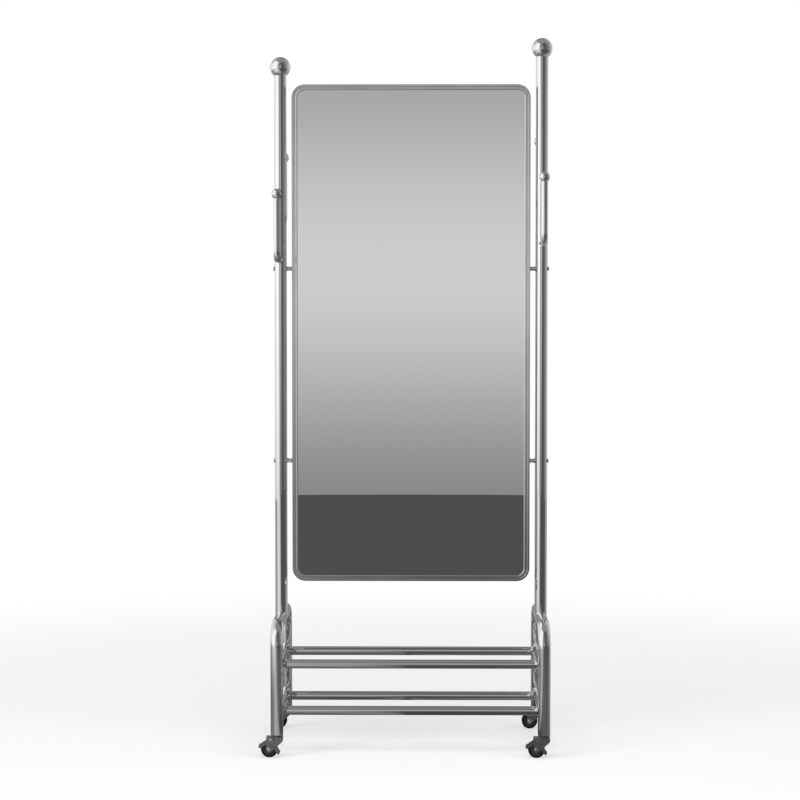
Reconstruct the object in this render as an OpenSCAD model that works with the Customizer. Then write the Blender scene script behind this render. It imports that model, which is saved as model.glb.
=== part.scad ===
// Rolling floor mirror: two staggered tube uprights on arched side frames, a framed mirror
// between them, four coat hooks, two rail shelves and four swivel casters, two of them braked.
// Millimetres, +Z up, the front of the mirror faces -Y.
// The origin lies on the floor under the centre of the whole outline.

/* [Mirror] */
// Width over the mirror frame
mirror_w = 580; // [420:5:760]
// Height over the mirror frame
mirror_h = 1210; // [1000:5:1400]
// Outer corner radius of the mirror frame
corner_r = 32; // [20:1:60]
// Width of the frame's front face
face_w = 13; // [12:0.5:18]
// Depth of the frame, front to back
frame_depth = 26; // [24:1:34]
// Wall of the frame section
frame_wall = 1.6; // [1.2:0.1:2]
// Thickness of the silvered glass
glass_t = 4; // [3:0.5:5]
// Thickness of the board that closes the back
backboard_t = 3; // [2:0.5:5]
// Air between each upright and the mirror frame
mirror_gap = 13; // [8:0.5:30]
// Height of the mirror's lower edge above the arches
mirror_clear = 74; // [40:2:160]
// Lower fixing bolts above the mirror's lower edge
low_fix_rise = 295; // [120:5:400]
// Upper fixing bolts below the mirror's upper edge
high_fix_drop = 446; // [150:5:520]

/* [Uprights] */
// Diameter of the upright tubes
post_d = 30; // [25:0.5:36]
// Wall of the upright tubes
post_wall = 1.5; // [1:0.1:2.5]
// Left upright's rim above the mirror's upper edge
left_post_rise = 22; // [10:1:120]
// How much the right upright stands above the left one
post_step = 45; // [0:1:90]
// Diameter of the balls on the uprights
finial_d = 50; // [38:0.5:60]
// How far a ball's plug reaches into its upright
finial_plug_h = 24; // [12:1:40]

/* [Coat hooks] */
// Diameter of the hook tubes
hook_d = 16.5; // [12:0.5:20]
// Wall of the hook tubes
hook_wall = 1.2; // [0.8:0.1:2]
// Upright's axis to the axis of the hook's prong
hook_reach = 132; // [80:1:180]
// Axis of the hook's run to the centre of its ball
hook_rise = 155; // [90:1:220]
// Centre-line radius of the hook's elbow
hook_bend_r = 21; // [16:1:40]
// Diameter of the balls on the hooks
hook_ball_d = 26; // [22:0.5:34]
// Left front hook's run below the left upright's rim
front_hook_drop = 447; // [260:1:520]
// How much the rear hooks sit above the front ones
rear_hook_lift = 101; // [0:1:160]
// How much the right hooks sit above the left ones
right_hook_lift = 40; // [0:1:60]

/* [Side frames] */
// Front leg's axis to rear leg's axis
leg_span = 360; // [330:2:480]
// Diameter of the legs and arches
leg_d = 30; // [25:0.5:36]
// Wall of the legs and arches
leg_wall = 1.5; // [1:0.1:2.5]
// Centre-line radius of the arch's bends
arch_bend_r = 48; // [36:1:70]
// Top of the arch above the upper rails' axis
arch_rise = 116; // [110:1:200]

/* [Shelves] */
// Diameter of the rails and of the crossbars that carry them
rail_d = 22; // [16:0.5:25]
// Wall of the rails and crossbars
rail_wall = 1.2; // [0.8:0.1:2]
// Front rail's axis to rear rail's axis
rail_span = 200; // [120:2:260]
// Lower rails' axis above the legs' ends
low_rail_rise = 43; // [34:1:90]
// Lower rails' axis to upper rails' axis
shelf_gap = 113; // [80:1:180]

/* [Casters] */
// Wheel diameter
wheel_d = 40; // [38:1:50]
// Width of the tyre
wheel_w = 15; // [12:0.5:16]
// Swivel axis to axle, the trail
trail = 18; // [14:0.5:20]
// Diameter of the axle bolt
axle_d = 6; // [5:0.5:7]
// Thickness of the fork's sheet
fork_t = 2; // [1.8:0.1:2.2]
// Air between the wheel and the fork's top plate
wheel_headroom = 8; // [7.5:0.5:12]
// Diameter of the caster's threaded stem
stem_d = 10; // [8:0.5:11]
// How far the stem reaches into the leg
stem_h = 28; // [18:1:40]
// Axle to the inner face of the brake's shoe and of its release tab
lever_reach = 25; // [24.5:0.5:26]
// Slope of the brake's shoe arm at rest
shoe_slope = 16; // [12:1:20]
// Slope of the brake's release arm at rest
release_slope = 22; // [18:1:26]

/* [Fits] */
// Gap where a piece sits on or in another of the same body
seat_gap = 0.1; // [0.05:0.05:0.3]
// Gap beside a piece that turns
side_gap = 0.3; // [0.2:0.05:0.5]
// Radial clearance of a turning fit
turn_gap = 0.06; // [0.03:0.01:0.1]

/* [Hidden] */
$fn = 48;

// Sides and ends: -1 is left or front, 1 is right or rear.
SIDES = [-1, 1];

// Radii
post_r = post_d / 2;
post_in_r = post_r - post_wall;
leg_r = leg_d / 2;
leg_in_r = leg_r - leg_wall;
rail_r = rail_d / 2;
rail_in_r = rail_r - rail_wall;
hook_r = hook_d / 2;
hook_in_r = hook_r - hook_wall;
wheel_r = wheel_d / 2;
axle_r = axle_d / 2;
stem_r = stem_d / 2;

// Small standard sizes
m6_r = 3;
m6_head_r = 5.2;
m6_head_h = 3.4;
m6_key_af = 4;
m6_nut_af = 10;
m6_nut_h = 5;
m8_r = 4;
m8_head_r = 7;
m8_head_h = 4.4;
m8_key_af = 5;
m8_nut_af = 13;
m8_nut_h = 6.5;
hole_gap = 0.2;

// Caster heights, from the floor
plate_low = wheel_d + wheel_headroom;
plate_top = plate_low + fork_t;
ball_r = 1.5;
ball_ring_r = stem_r + 2.6;
ball_count = 10;
race_gap = 1;
flange_low = plate_top + race_gap;
flange_t = 2;
flange_r = ball_ring_r + ball_r + 1.2;
lip_t = 1;
leg_low = flange_low + flange_t + lip_t;

// Caster widths, either side of the leg's axis plane; the brake's cheeks run inside the fork
lever_t = 1.2;
lever_in = wheel_w / 2 + 0.6;
lever_out = lever_in + lever_t;
fork_in = lever_out + side_gap;
fork_out = fork_in + fork_t;

// Side frame heights
low_rail_z = leg_low + low_rail_rise;
high_rail_z = low_rail_z + shelf_gap;
arch_top = high_rail_z + arch_rise;
arch_axis_z = arch_top - leg_r;
arch_end_z = arch_axis_z - arch_bend_r;

// Mirror and upright heights
mirror_low = arch_top + mirror_clear;
mirror_top = mirror_low + mirror_h;
fix_heights = [mirror_low + low_fix_rise, mirror_top - high_fix_drop];
left_rim_z = mirror_top + left_post_rise;
front_hook_z = left_rim_z - front_hook_drop;

// Brake lever, in a caster's own X and Z
axle_at = [-trail, wheel_r];
lever_pivot = [3 - trail, wheel_d + 3.3];
lever_pin_r = 2;
lever_arm_r = 3.5;
lever_end = lever_reach + lever_t;
lever_tip = trail + lever_end * cos(shoe_slope) + lever_arm_r * sin(shoe_slope);

// Widths. The casters trail to the left, so the middle plane stands right of the origin.
post_x = mirror_w / 2 + mirror_gap + post_r;
right_reach = max(post_r + seat_gap + m6_head_h, finial_d / 2);
mid_x = (lever_tip - right_reach) / 2;

// Mirror section, from the outer edge inwards and from the front backwards
lip_step = 0.8;
flange_w = 11;
mirror_front = -frame_depth / 2;
mirror_back = frame_depth / 2;
glass_inset = frame_wall + 0.6;
glass_front = mirror_front + frame_wall + 0.2;
glass_back = glass_front + glass_t;
core_inset = frame_wall + m6_nut_h + 9;
board_inset = 1;
screw_inset = 6;
screw_r = 1.5;

// Places
function side_x(side) = mid_x + side * post_x;
function rim_z(side) = left_rim_z + (side > 0 ? post_step : 0);
function hook_z(side, end) =
    front_hook_z + (side > 0 ? right_hook_lift : 0) + (end > 0 ? rear_hook_lift : 0);
function leg_y(end) = end * leg_span / 2;
function rail_y(end) = end * rail_span / 2;
function spread(n, span) = [for (i = [0 : n - 1]) -span / 2 + i * span / (n - 1)];

// ---------- shapes that repeat ----------

module along_y(y0, y1) {
    translate([0, y1, 0]) rotate([90, 0, 0]) linear_extrude(y1 - y0) children();
}

module rod_x(r, x0, x1) {
    translate([x0, 0, 0]) rotate([0, 90, 0]) cylinder(r = r, h = x1 - x0);
}

module rod_y(r, y0, y1) {
    translate([0, y1, 0]) rotate([90, 0, 0]) cylinder(r = r, h = y1 - y0);
}

module rod_z(r, z0, z1) {
    translate([0, 0, z0]) cylinder(r = r, h = z1 - z0);
}

module at_rod(side, end) {
    translate([side_x(side), leg_y(end), 0]) children();
}

// Outline of two circles and the straight lines that touch both
module belt(p1, r1, p2, r2) {
    d = p2 - p1;
    a = atan2(d[1], d[0]);
    b = acos((r1 - r2) / norm(d));
    function on(p, r, t) = p + r * [cos(t), sin(t)];
    translate(p1) circle(r1);
    translate(p2) circle(r2);
    polygon([on(p1, r1, a + b), on(p1, r1, a - b), on(p2, r2, a - b), on(p2, r2, a + b)]);
}

module round_rect(w, h, r) {
    square([w - 2 * r, h], center = true);
    square([w, h - 2 * r], center = true);
    for (x = SIDES, y = SIDES)
        translate([x * (w / 2 - r), y * (h / 2 - r)]) circle(r);
}

// A slab of the mirror's outline, set in by inset, between two depths
module mirror_slab(inset, y0, y1) {
    translate([mid_x, 0, (mirror_low + mirror_top) / 2])
        along_y(y0, y1)
            round_rect(mirror_w - 2 * inset, mirror_h - 2 * inset, corner_r - inset);
}

// Domed head of a bolt that runs along +X, the face at x = 0
module domed_head(r, h) {
    rotate([0, 90, 0]) rotate_extrude() polygon([
        [0, 0], [r, 0], [r, h * 0.4], [r * 0.95, h * 0.62], [r * 0.84, h * 0.82], [r * 0.66, h], [0, h]
    ]);
}

// The same with a hexagon socket for a key, af across its flats
module button_head(r, h, af) {
    depth = h * 0.55;
    difference() {
        domed_head(r, h);
        translate([h - depth, 0, 0]) rotate([0, 90, 0]) cylinder(d = af / cos(30), h = depth + 1, $fn = 6);
    }
}

// The same with a cross recess
module cross_head(r, h) {
    depth = h * 0.45;
    slot = r * 0.3;
    difference() {
        domed_head(r, h);
        translate([h - depth, -r * 0.55, -slot / 2]) cube([depth + 1, r * 1.1, slot]);
        translate([h - depth, -slot / 2, -r * 0.55]) cube([depth + 1, slot, r * 1.1]);
    }
}

// ---------- uprights ----------

module post(side) {
    color("gainsboro") difference() {
        translate([side_x(side), 0, 0]) difference() {
            rod_z(post_r, arch_axis_z, rim_z(side));
            rod_z(post_in_r, arch_axis_z - 1, rim_z(side) + 1);
            translate([0, 0, arch_axis_z]) rod_y(leg_r + seat_gap, -post_d, post_d);
            for (z = fix_heights)
                translate([0, 0, z]) rod_x(m6_r + hole_gap, -post_d, post_d);
            for (end = SIDES)
                translate([0, 0, hook_z(side, end)])
                    rod_y(m8_r + hole_gap, min(0, end * post_d), max(0, end * post_d));
        }
    }
}

module finials() {
    seat = sqrt(pow(finial_d / 2, 2) - pow(post_r, 2));
    color("silver") for (side = SIDES)
        translate([side_x(side), 0, rim_z(side)]) {
            difference() {
                translate([0, 0, seat]) sphere(d = finial_d);
                rod_z(finial_d, -finial_d, 0);
            }
            rod_z(post_in_r - seat_gap, -finial_plug_h, 1);
        }
}

module left_post() { post(-1); }
module right_post() { post(1); }

// ---------- coat hooks ----------

// The run, the elbow and the prong of a hook, of radius r, from the upright's axis
module hook_path(r, rise) {
    rod_y(r, -(hook_reach - hook_bend_r), 0);
    translate([0, -(hook_reach - hook_bend_r), hook_bend_r])
        rotate([90, 0, 90]) rotate([0, 0, 180]) rotate_extrude(angle = 90)
            translate([hook_bend_r, 0]) circle(r);
    translate([0, -hook_reach, 0]) rod_z(r, hook_bend_r, rise);
}

module hook(side, end) {
    seat = sqrt(pow(hook_ball_d / 2, 2) - pow(hook_r, 2));
    color("gainsboro") translate([side_x(side), 0, hook_z(side, end)])
        mirror([0, end > 0 ? 1 : 0, 0]) difference() {
            hook_path(hook_r, hook_rise - seat);
            hook_path(hook_in_r, hook_rise);
            rod_z(post_r + seat_gap, -post_d, post_d);
        }
}

module left_front_hook() { hook(-1, -1); }
module left_rear_hook() { hook(-1, 1); }
module right_front_hook() { hook(1, -1); }
module right_rear_hook() { hook(1, 1); }

module hook_balls() {
    seat = sqrt(pow(hook_ball_d / 2, 2) - pow(hook_r, 2));
    plug_h = 12;
    color("silver") for (side = SIDES, end = SIDES)
        translate([side_x(side), end * hook_reach, hook_z(side, end) + hook_rise]) {
            difference() {
                sphere(d = hook_ball_d);
                rod_z(hook_ball_d, -hook_ball_d - seat, -seat);
            }
            rod_z(hook_in_r - seat_gap, -seat - plug_h, 0);
        }
}

// Runs its children at each hook's foot, -Y pointing out of the upright, y = 0 on its axis
module at_hooks() {
    for (side = SIDES, end = SIDES)
        translate([side_x(side), 0, hook_z(side, end)]) mirror([0, end > 0 ? 1 : 0, 0]) children();
}

// Deepest plane inside an upright that a nut of radius r can rest on
hook_nut_y = -sqrt(pow(post_in_r, 2) - pow(m8_nut_af / 2 / cos(30), 2)) + seat_gap;

module hook_studs() {
    plug_l = 14;
    start = post_r + 1.5;
    color("dimgray") at_hooks() {
        rod_y(hook_in_r - seat_gap, -start - plug_l, -start);
        rod_y(m8_r, -start - 1, hook_nut_y + m8_nut_h + 1);
    }
}

module hook_nuts() {
    color("silver") at_hooks() difference() {
        along_y(hook_nut_y, hook_nut_y + m8_nut_h) circle(d = m8_nut_af / cos(30), $fn = 6);
        rod_y(m8_r + seat_gap / 2, -post_r, 0);
    }
}

// ---------- side frames ----------

module arch_path(r) {
    flat = leg_span / 2 - arch_bend_r;
    rod_y(r, -flat, flat);
    for (end = SIDES)
        translate([0, end * flat, -arch_bend_r]) rotate([90, 0, 90])
            mirror([end < 0 ? 1 : 0, 0, 0]) rotate_extrude(angle = 90)
                translate([arch_bend_r, 0]) circle(r);
}

module arch(side) {
    color("gainsboro") translate([side_x(side), 0, arch_axis_z]) difference() {
        arch_path(leg_r);
        arch_path(leg_in_r);
        rod_z(m8_r + hole_gap, -leg_d, leg_d);
    }
}

module leg(side, end) {
    color("gainsboro") at_rod(side, end) difference() {
        rod_z(leg_r, leg_low, arch_end_z);
        rod_z(leg_in_r, leg_low - 1, arch_end_z + 1);
    }
}

module crossbar(side, z) {
    color("gainsboro") translate([side_x(side), 0, z]) difference() {
        rod_y(rail_r, -leg_span / 2, leg_span / 2);
        rod_y(rail_in_r, -leg_span / 2 - 1, leg_span / 2 + 1);
        for (end = SIDES) {
            translate([0, leg_y(end), 0]) rod_z(leg_r + seat_gap, -leg_d, leg_d);
            translate([0, rail_y(end), 0]) rod_x(m6_r + hole_gap, -leg_d, leg_d);
        }
    }
}

// Sleeves inside the seams between the arches and the legs; the nose tapers to clear the bend
module leg_joiners() {
    half_l = 30;
    nose_h = 10;
    wall = 3;
    nose_taper = 1.5;
    outer_r = leg_in_r - seat_gap;
    color("dimgray") for (side = SIDES, end = SIDES)
        at_rod(side, end) difference() {
            union() {
                rod_z(outer_r, arch_end_z - half_l, arch_end_z);
                translate([0, 0, arch_end_z]) cylinder(r1 = outer_r, r2 = outer_r - nose_taper, h = nose_h);
            }
            rod_z(outer_r - wall, arch_end_z - half_l - 1, arch_end_z + nose_h + 1);
        }
}

module left_arch() { arch(-1); }
module right_arch() { arch(1); }
module front_left_leg() { leg(-1, -1); }
module rear_left_leg() { leg(-1, 1); }
module front_right_leg() { leg(1, -1); }
module rear_right_leg() { leg(1, 1); }
module left_upper_crossbar() { crossbar(-1, high_rail_z); }
module left_lower_crossbar() { crossbar(-1, low_rail_z); }
module right_upper_crossbar() { crossbar(1, high_rail_z); }
module right_lower_crossbar() { crossbar(1, low_rail_z); }

// Threaded plug in each upright's foot, and the bolt that draws it down on the arch
module post_inserts() {
    insert_h = 26;
    foot_gap = 3;
    low = arch_top + foot_gap;
    color("dimgray") for (side = SIDES)
        translate([side_x(side), 0, 0]) difference() {
            rod_z(post_in_r - seat_gap, low, low + insert_h);
            rod_z(m8_r + seat_gap / 2, low - 1, low + insert_h + 1);
        }
}

module post_bolts() {
    grip = 22;
    head_top = arch_axis_z - leg_r - seat_gap;
    color("silver") for (side = SIDES)
        translate([side_x(side), 0, head_top]) {
            rod_z(m8_r, -1, arch_top + grip - head_top);
            rotate([0, 90, 0]) button_head(m8_head_r, m8_head_h, m8_key_af);
        }
}

// ---------- shelves ----------

module rail(end, z) {
    color("gainsboro") translate([mid_x, rail_y(end), z]) difference() {
        rod_x(rail_r, -post_x, post_x);
        rod_x(rail_in_r, -post_x - 1, post_x + 1);
        for (side = SIDES)
            translate([side * post_x, 0, 0]) rod_y(rail_r + seat_gap, -rail_d, rail_d);
    }
}

module upper_front_rail() { rail(-1, high_rail_z); }
module upper_rear_rail() { rail(1, high_rail_z); }
module lower_front_rail() { rail(-1, low_rail_z); }
module lower_rear_rail() { rail(1, low_rail_z); }

// Runs its children at each rail end, +X pointing outwards, x = 0 on the crossbar's axis
module at_rail_ends() {
    for (side = SIDES, end = SIDES, z = [low_rail_z, high_rail_z])
        translate([side_x(side), rail_y(end), z]) mirror([side < 0 ? 1 : 0, 0, 0]) children();
}

module rail_inserts() {
    insert_l = 20;
    outer = -rail_r - side_gap;
    color("dimgray") at_rail_ends() difference() {
        rod_x(rail_in_r - seat_gap, outer - insert_l, outer);
        rod_x(m6_r + seat_gap / 2, outer - insert_l - 1, outer + 1);
    }
}

module rail_bolts() {
    grip = 16;
    color("silver") at_rail_ends() {
        rod_x(m6_r, -rail_r - grip, rail_r + 1);
        translate([rail_r + seat_gap, 0, 0]) button_head(m6_head_r, m6_head_h, m6_key_af);
    }
}

// ---------- mirror ----------

// Section of the frame: x runs inwards from the outer edge, y backwards from the front
module frame_section() {
    w = frame_wall;
    d = frame_depth;
    polygon([
        [0, 1.2], [1.2, 0], [5, 0], [5 + lip_step, lip_step],
        [face_w - 2.6 - lip_step, lip_step], [face_w - 2.6, 0.2], [face_w - 0.6, 0.2], [face_w, 0.8],
        [face_w, w], [w, w], [w, d - w], [flange_w, d - w], [flange_w, d], [0.8, d], [0, d - 0.8]
    ]);
}

// One straight side of the frame, its outer edge on the X axis, the inside towards -Z
module frame_side(length) {
    translate([-length / 2, 0, 0]) rotate([90, 90, 90]) linear_extrude(length) frame_section();
}

module frame_corner() {
    rotate([90, 0, 0]) mirror([0, 0, 1]) rotate_extrude(angle = 90)
        translate([corner_r, 0]) mirror([1, 0]) frame_section();
}

module mirror_frame() {
    half_w = mirror_w / 2;
    half_h = mirror_h / 2;
    color("darkgray") difference() {
        translate([mid_x, mirror_front, (mirror_low + mirror_top) / 2]) {
            for (turn = [0, 180]) rotate([0, turn, 0])
                translate([0, 0, half_h]) frame_side(mirror_w - 2 * corner_r);
            for (turn = [90, 270]) rotate([0, turn, 0])
                translate([0, 0, half_w]) frame_side(mirror_h - 2 * corner_r);
            for (x = [0, 1], z = [0, 1]) mirror([x, 0, 0]) mirror([0, 0, z])
                translate([half_w - corner_r, 0, half_h - corner_r]) frame_corner();
        }
        at_mirror_fixings() rod_x(m6_r + hole_gap, -2, 2);
        at_board_screws() rod_y(screw_r + seat_gap, -3, 3);
    }
}

module mirror_glass() {
    color("lightsteelblue") mirror_slab(glass_inset, glass_front, glass_back);
}

// Batten frame between the glass and the back board, open in three panels
module mirror_battens() {
    batten_w = 34;
    inner_w = mirror_w - 2 * (core_inset + batten_w);
    panel_h = (mirror_h - 2 * core_inset - 4 * batten_w) / 3;
    color("tan") difference() {
        mirror_slab(core_inset, glass_back + seat_gap, mirror_back - seat_gap);
        for (i = [-1 : 1])
            translate([mid_x, 0, (mirror_low + mirror_top) / 2 + i * (panel_h + batten_w)])
                cube([inner_w, 2 * frame_depth, panel_h], center = true);
    }
}

module mirror_backboard() {
    color("slategray") difference() {
        mirror_slab(board_inset, mirror_back, mirror_back + backboard_t);
        at_board_screws() rod_y(screw_r + seat_gap, -3, backboard_t + 3);
    }
}

// Runs its children at each fixing, +X pointing outwards, x = 0 on the frame's outer wall
module at_mirror_fixings() {
    for (side = SIDES, z = fix_heights)
        translate([mid_x + side * mirror_w / 2, 0, z]) mirror([side < 0 ? 1 : 0, 0, 0]) children();
}

// Runs its children at each board screw, y = 0 on the frame's back face
module at_board_screws() {
    across = mirror_w - 2 * screw_inset;
    up = mirror_h - 2 * screw_inset;
    translate([mid_x, mirror_back, (mirror_low + mirror_top) / 2]) {
        for (side = SIDES, z = spread(4, up - 2.6 * corner_r))
            translate([side * across / 2, 0, z]) children();
        for (side = SIDES, x = spread(2, across * 0.5))
            translate([x, 0, side * up / 2]) children();
    }
}

module backboard_screws() {
    head_r = 3.2;
    head_h = 1.8;
    color("silver") at_board_screws() {
        rod_y(screw_r, -4, backboard_t + 1);
        translate([0, backboard_t + seat_gap, 0]) rotate([0, 0, 90]) cross_head(head_r, head_h);
    }
}

// Sleeves on the mirror bolts; the outer end is cut to the upright's curve
module mirror_spacers() {
    end_r = 6.2;
    waist_r = 5;
    bore_r = m6_r + hole_gap;
    l = mirror_gap - seat_gap + 2;
    color("silver") at_mirror_fixings() difference() {
        translate([seat_gap, 0, 0]) rotate([0, 90, 0]) rotate_extrude() polygon([
            [bore_r, 0], [end_r, 0], [end_r, 1.2], [waist_r, 2.4],
            [waist_r, l - 4.4], [end_r, l - 3.2], [end_r, l], [bore_r, l]
        ]);
        translate([mirror_gap + post_r, 0, 0]) rod_z(post_r + seat_gap, -post_d, post_d);
    }
}

module mirror_bolts() {
    outer = mirror_gap + post_d;
    color("silver") at_mirror_fixings() {
        rod_x(m6_r, -frame_wall - m6_nut_h - 1, outer + 1);
        translate([outer + seat_gap, 0, 0]) button_head(m6_head_r, m6_head_h, m6_key_af);
    }
}

module mirror_nuts() {
    color("silver") at_mirror_fixings() difference() {
        translate([-frame_wall - m6_nut_h - seat_gap, 0, 0]) rotate([0, 90, 0])
            cylinder(d = m6_nut_af / cos(30), h = m6_nut_h, $fn = 6);
        rod_x(m6_r + seat_gap / 2, -frame_wall - m6_nut_h - 2, 0);
    }
}

// ---------- casters ----------

module leg_plugs() {
    plug_h = stem_h + 4;
    lip_r = leg_r - 0.6;
    color("dimgray") for (side = SIDES, end = SIDES)
        at_rod(side, end) difference() {
            union() {
                rod_z(leg_in_r - seat_gap, leg_low - lip_t / 2, leg_low + plug_h);
                rod_z(lip_r, leg_low - lip_t, leg_low - seat_gap / 2);
            }
            rod_z(stem_r + seat_gap / 2, leg_low - lip_t - 1, leg_low + plug_h + 1);
        }
}

module race_groove(z) {
    groove_gap = 0.08;
    translate([0, 0, z]) rotate_extrude() translate([ball_ring_r, 0]) circle(ball_r + groove_gap);
}

module caster_stems() {
    rivet_r = stem_r + 3;
    rivet_h = 3;
    top = leg_low + stem_h;
    color("silver") for (side = SIDES, end = SIDES)
        at_rod(side, end) difference() {
            union() {
                rod_z(stem_r, plate_low - side_gap - 1, top);
                rod_z(flange_r, flange_low, flange_low + flange_t - seat_gap);
                rod_z(rivet_r, plate_low - side_gap - rivet_h, plate_low - side_gap);
            }
            race_groove(plate_top + race_gap / 2);
        }
}

module swivel_balls() {
    color("silver") for (side = SIDES, end = SIDES, i = [0 : ball_count - 1])
        at_rod(side, end) rotate([0, 0, i * 360 / ball_count])
            translate([ball_ring_r, 0, plate_top + race_gap / 2]) sphere(ball_r, $fn = 24);
}

// Side outline of the fork: x from the swivel axis, y up from the floor
module cheek_outline() {
    back = trail + 7;
    front = 14;
    end_r = 7.4;
    shoulder_r = 5;
    rear = [shoulder_r - back, wheel_r + 12];
    fore = [front - shoulder_r, plate_top - 9];
    belt(axle_at, end_r, rear, shoulder_r);
    belt(axle_at, end_r, fore, shoulder_r);
    polygon([
        axle_at, rear, [-back, rear[1]], [-back, plate_top], [front, plate_top], [front, fore[1]], fore
    ]);
}

// Inverted channel that the fork is folded to: x is the object's Y, y is up
module channel_section() {
    bend_in_r = 1.2;
    module folded(half, top, r) {
        translate([-half, 0]) square([2 * half, top - r]);
        translate([r - half, 0]) square([2 * (half - r), top]);
        for (s = SIDES) translate([s * (half - r), top - r]) circle(r);
    }
    difference() {
        folded(fork_out, plate_top, fork_t + bend_in_r);
        translate([0, -1]) folded(fork_in, plate_low + 1, bend_in_r);
    }
}

module fork(side, end) {
    disc_r = 13.5;
    rib_r = 2;
    rib_x = trail / 2 - 1.5;
    color("dimgray") at_rod(side, end) difference() {
        union() {
            intersection() {
                translate([-2 * trail, 0, 0]) rotate([90, 0, 90])
                    linear_extrude(4 * trail) channel_section();
                along_y(-fork_out, fork_out) cheek_outline();
            }
            rod_z(disc_r, plate_low, plate_top);
            for (s = SIDES) translate([-rib_x, s * (fork_out - rib_r + 0.7), 0])
                rod_z(rib_r, wheel_r + 5, plate_low);
        }
        for (s = SIDES) translate([-rib_x, s * (fork_in - rib_r), 0])
            translate([-rib_r - 1, -rib_r, 0]) cube([2 * rib_r + 2, 2 * rib_r, plate_low]);
        rod_z(stem_r + turn_gap, plate_low - 1, plate_top + 1);
        race_groove(plate_top + race_gap / 2);
        translate([-trail, 0, wheel_r]) rod_y(axle_r + seat_gap / 2, -fork_out - 1, fork_out + 1);
        if (end < 0)
            translate([lever_pivot[0], 0, lever_pivot[1]])
                rod_y(lever_pin_r + seat_gap / 2, -fork_out - 1, fork_out + 1);
    }
}

module axle(side, end) {
    head_h = 2.4;
    outer = fork_out + seat_gap;
    color("silver") at_rod(side, end) translate([-trail, 0, wheel_r]) {
        rod_y(axle_r, -outer - 1, outer + head_h);
        translate([0, -outer, 0]) rotate([0, 0, -90]) button_head(axle_r + 2, head_h, m6_key_af);
        along_y(outer, outer + head_h - 0.3) circle(d = m6_nut_af / cos(30), $fn = 6);
    }
}

// Wheel pieces, turned about Y
module wheel_turned(side, end) {
    at_rod(side, end) translate([-trail, 0, wheel_r]) rotate([90, 0, 0]) rotate_extrude() children();
}

tyre_in_r = wheel_r - 5.6;

module tyre_section() {
    half = wheel_w / 2;
    edge = 2;
    ring = wheel_r - 3;
    difference() {
        union() {
            translate([tyre_in_r, -half + edge]) square([wheel_r - tyre_in_r, wheel_w - 2 * edge]);
            translate([tyre_in_r, -half]) square([wheel_r - tyre_in_r - edge, wheel_w]);
            for (s = SIDES) translate([wheel_r - edge, s * (half - edge)]) circle(edge);
        }
        for (s = SIDES) translate([(tyre_in_r + ring) / 2, s * half]) circle((ring - tyre_in_r) / 2 - 0.2);
    }
}

module hub_section() {
    rim_r = tyre_in_r - seat_gap;
    half = wheel_w / 2 - 0.6;
    boss = lever_out;
    bore = axle_r + turn_gap;
    polygon([
        [bore, -boss], [bore + 2.6, -boss], [bore + 3, -half + 2], [rim_r - 3.2, -half + 2.6],
        [rim_r - 2, -half], [rim_r, -half], [rim_r, half], [rim_r - 2, half],
        [rim_r - 3.2, half - 2.6], [bore + 3, half - 2], [bore + 2.6, boss], [bore, boss]
    ]);
}

module hub(side, end) { color("gray") wheel_turned(side, end) hub_section(); }
module tyre(side, end) { color([0.12, 0.12, 0.13]) wheel_turned(side, end) tyre_section(); }

// Runs its children in the frame of one brake arm: the axle at 0, the arm along +X or -X
module at_arm(s) {
    translate(axle_at) rotate(s < 0 ? -shoe_slope : -release_slope) children();
}

module lever_cheek() {
    start = lever_reach - 2.5;
    ear_r = lever_pin_r + 1.5;
    difference() {
        for (s = SIDES) {
            slope = s < 0 ? shoe_slope : release_slope;
            tip = axle_at + s * start * [cos(slope), -sin(slope)];
            belt(lever_pivot, ear_r, tip, lever_arm_r);
            at_arm(s) translate([s < 0 ? -lever_end : start, -lever_arm_r])
                square([lever_end - start, 2 * lever_arm_r]);
        }
        translate(lever_pivot) circle(lever_pin_r + turn_gap);
    }
}

// The brake: two cheeks beside the wheel, joined by the shoe behind it and a release tab before it
module brake(side) {
    color("gray") at_rod(side, -1) {
        for (s = SIDES) translate([0, s * (lever_in + lever_out) / 2, 0])
            along_y(-lever_t / 2, lever_t / 2) lever_cheek();
        for (s = SIDES) along_y(-lever_out, lever_out)
            at_arm(s) translate([s < 0 ? -lever_end : lever_reach, -lever_arm_r])
                square([lever_t, 2 * lever_arm_r]);
    }
}

// The pin through the fork that the brake turns on
module brake_pin(side) {
    head_r = 3.4;
    head_h = 1.2;
    outer = fork_out + seat_gap;
    color("silver") at_rod(side, -1) translate([lever_pivot[0], 0, lever_pivot[1]]) {
        rod_y(lever_pin_r, -outer - 0.2, outer + 0.2);
        for (s = SIDES) translate([0, s * (outer + head_h / 2), 0])
            rod_y(head_r, -head_h / 2, head_h / 2);
    }
}

module front_left_fork() { fork(-1, -1); }
module front_right_fork() { fork(1, -1); }
module rear_left_fork() { fork(-1, 1); }
module rear_right_fork() { fork(1, 1); }
module front_left_axle() { axle(-1, -1); }
module front_right_axle() { axle(1, -1); }
module rear_left_axle() { axle(-1, 1); }
module rear_right_axle() { axle(1, 1); }
module front_left_hub() { hub(-1, -1); }
module front_right_hub() { hub(1, -1); }
module rear_left_hub() { hub(-1, 1); }
module rear_right_hub() { hub(1, 1); }
module front_left_tyre() { tyre(-1, -1); }
module front_right_tyre() { tyre(1, -1); }
module rear_left_tyre() { tyre(-1, 1); }
module rear_right_tyre() { tyre(1, 1); }
module front_left_brake() { brake(-1); }
module front_right_brake() { brake(1); }
module left_brake_pin() { brake_pin(-1); }
module right_brake_pin() { brake_pin(1); }

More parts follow.
